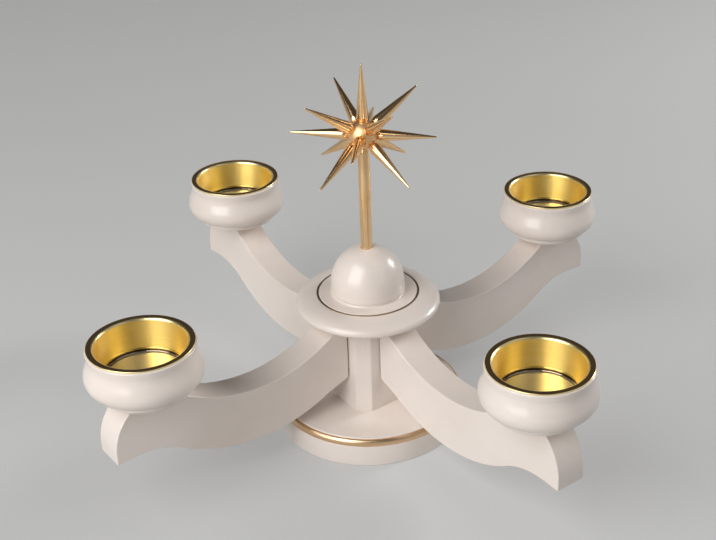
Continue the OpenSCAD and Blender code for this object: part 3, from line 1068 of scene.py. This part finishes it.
class HOLDER_OT_star(bpy.types.Operator):
    """Turn the rod, the ball and the spikes, and set the spikes round the ball"""

    bl_idname = "holder.star"
    bl_label = "Star"

    def execute(self, context):
        s = context.scene.holder.star
        sunk, chamfer = 0.3 * MM, 0.3 * MM
        root = math.sqrt(s.ball ** 2 - s.neck ** 2) - sunk
        thick = root + s.root + sunk
        rod = [(0.0, s.rod_low), (s.rod - chamfer, s.rod_low), (s.rod, s.rod_low + chamfer)]
        rod += [(s.rod, s.middle - thick)]
        rod += [(s.neck, s.middle - root), (0.0, s.middle - root)]
        piece = turned("brass_rod", rod, brass(), around=64, lengthwise=True)
        stand_for(piece, "star", "brass", "star_rod")
        ball = arc((0.0, s.middle), (s.ball, s.ball), -90, 90, 40)
        ball[0], ball[-1] = (0.0, s.middle - s.ball), (0.0, s.middle + s.ball)
        piece = turned("brass_ball", ball, cast_brass(), around=80)
        stand_for(piece, "star", "brass", "star_hub")
        spike = [(0.0, root), (s.neck, root)]
        spike += arc((s.neck, thick), (s.spike - s.neck, s.root), -90, 0, 10)
        spike += arc((0.0, s.reach - s.tip), (s.tip, s.tip), 0, 90, 6)
        spike[-1] = (0.0, s.reach)
        mesh = turn("spike_blank", spike, around=48, lengthwise=True)
        in_ring = 4
        piece = run_tree("brass_spikes", mesh, star_tree(), {
            "Middle": s.middle, "Spikes a ring": in_ring, "Tilt": s.tilt, "Turn": s.turn,
            "Material": brass(),
        })
        rings = [
            f"star_spike_{ring}_{k + 1}"
            for ring in ("upper", "level", "lower") for k in range(in_ring)
        ]
        stand_for(piece, "star", "brass", "star_spike_top", *rings)
        return {"FINISHED"}


class HOLDER_OT_fixings(bpy.types.Operator):
    """Give the hidden screws and dowels their finish"""

    bl_idname = "holder.fixings"
    bl_label = "Fixings"

    def execute(self, context):
        zinc, wood = steel(), beech()
        finishes = {"base_screw": zinc}
        for side in SIDES:
            finishes[f"cup_screw_{side}"] = zinc
            finishes[f"arm_dowels_{side}"] = wood
        for name, material in finishes.items():
            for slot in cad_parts[name].material_slots:
                slot.material = material
        return {"FINISHED"}


class HOLDER_OT_stage(bpy.types.Operator):
    """Lay the pale floor, hang the lamps and set up the camera"""

    bl_idname = "holder.stage"
    bl_label = "Stage"

    def execute(self, context):
        s = context.scene.holder.stage
        sweep = [(0.0, 0.0), (0.4, 0.0), (0.8, 0.0)]
        sweep += arc((FLOOR_FLAT, FLOOR_BEND), (FLOOR_BEND, FLOOR_BEND), -90, 0, 15)
        sweep += [(FLOOR_FLAT + FLOOR_BEND, BACKDROP)]
        mesh = turn("pale_floor", sweep, around=96)
        if mesh.polygons[0].normal.z < 0:
            mesh.flip_normals()
        floor = place("pale_floor", mesh, matt_floor())
        floor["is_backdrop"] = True
        for name, azimuth, elevation, distance, size in LAMPS:
            lamp(f"{name}_lamp", azimuth, elevation, distance, size, getattr(s, name))
        world = bpy.data.worlds.new("dim_room")
        world.use_nodes = True
        room = world.node_tree.nodes["Background"]
        room.inputs["Color"].default_value = rgba([s.room] * 3)
        context.scene.world = world
        data = bpy.data.cameras.new("photo_camera")
        data.lens = s.lens
        data.sensor_width = FILM
        data.shift_x = s.shift
        camera = add_object("photo_camera", data)
        camera.location = s.camera
        look = Vector((
            math.sin(s.heading) * math.cos(s.pitch),
            math.cos(s.heading) * math.cos(s.pitch),
            -math.sin(s.pitch),
        ))
        camera.rotation_mode = "QUATERNION"
        camera.rotation_quaternion = look.to_track_quat("-Z", "Y")
        context.scene.camera = camera
        context.scene.view_settings.view_transform = "Standard"
        return {"FINISHED"}


def lamp(name, azimuth, elevation, distance, size, watts):
    """A soft lamp that looks at the holder from an azimuth and an elevation in degrees."""
    data = bpy.data.lights.new(name, "AREA")
    data.shape = "RECTANGLE"
    data.size, data.size_y = size
    data.energy = watts
    a, e = math.radians(azimuth), math.radians(elevation)
    way = Vector((math.cos(a) * math.cos(e), math.sin(a) * math.cos(e), math.sin(e)))
    light = add_object(name, data)
    light.location = AIM + distance * way
    light.rotation_mode = "QUATERNION"
    light.rotation_quaternion = (-way).to_track_quat("-Z", "Y")


class HOLDER_PT_panel(bpy.types.Panel):
    """The candle holder's pieces and stage"""

    bl_idname = "HOLDER_PT_panel"
    bl_label = "Candle holder"
    bl_space_type = "VIEW_3D"
    bl_region_type = "UI"
    bl_category = "Candle holder"

    def draw(self, context):
        for step, group in STEPS.items():
            settings = getattr(context.scene.holder, group)
            box = self.layout.box()
            box.operator(f"holder.{step}")
            for key in settings.__annotations__:
                box.prop(settings, key)


CLASSES = (
    BaseSizes, PostSizes, ArmSizes, CollarSizes, DomeSizes, CupSizes, LinerSizes, StarSizes,
    Finishes, StageSettings, HolderSettings,
    HOLDER_OT_base, HOLDER_OT_post, HOLDER_OT_arms, HOLDER_OT_collar, HOLDER_OT_dome,
    HOLDER_OT_cups, HOLDER_OT_liners, HOLDER_OT_star, HOLDER_OT_fixings, HOLDER_OT_stage,
    HOLDER_PT_panel,
)


def register():
    for item in CLASSES:
        bpy.utils.register_class(item)
    bpy.types.Scene.holder = PointerProperty(type=HolderSettings)


def unregister():
    del bpy.types.Scene.holder
    for item in reversed(CLASSES):
        bpy.utils.unregister_class(item)


def main():
    register()
    for step in STEPS:
        getattr(bpy.ops.holder, step)()
    boxes = {"cad": CAD_BOX, "visual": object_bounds()}
    {key: [list(corner) for corner in box] for key, box in boxes.items()}


if __name__ == "__main__":
    main()
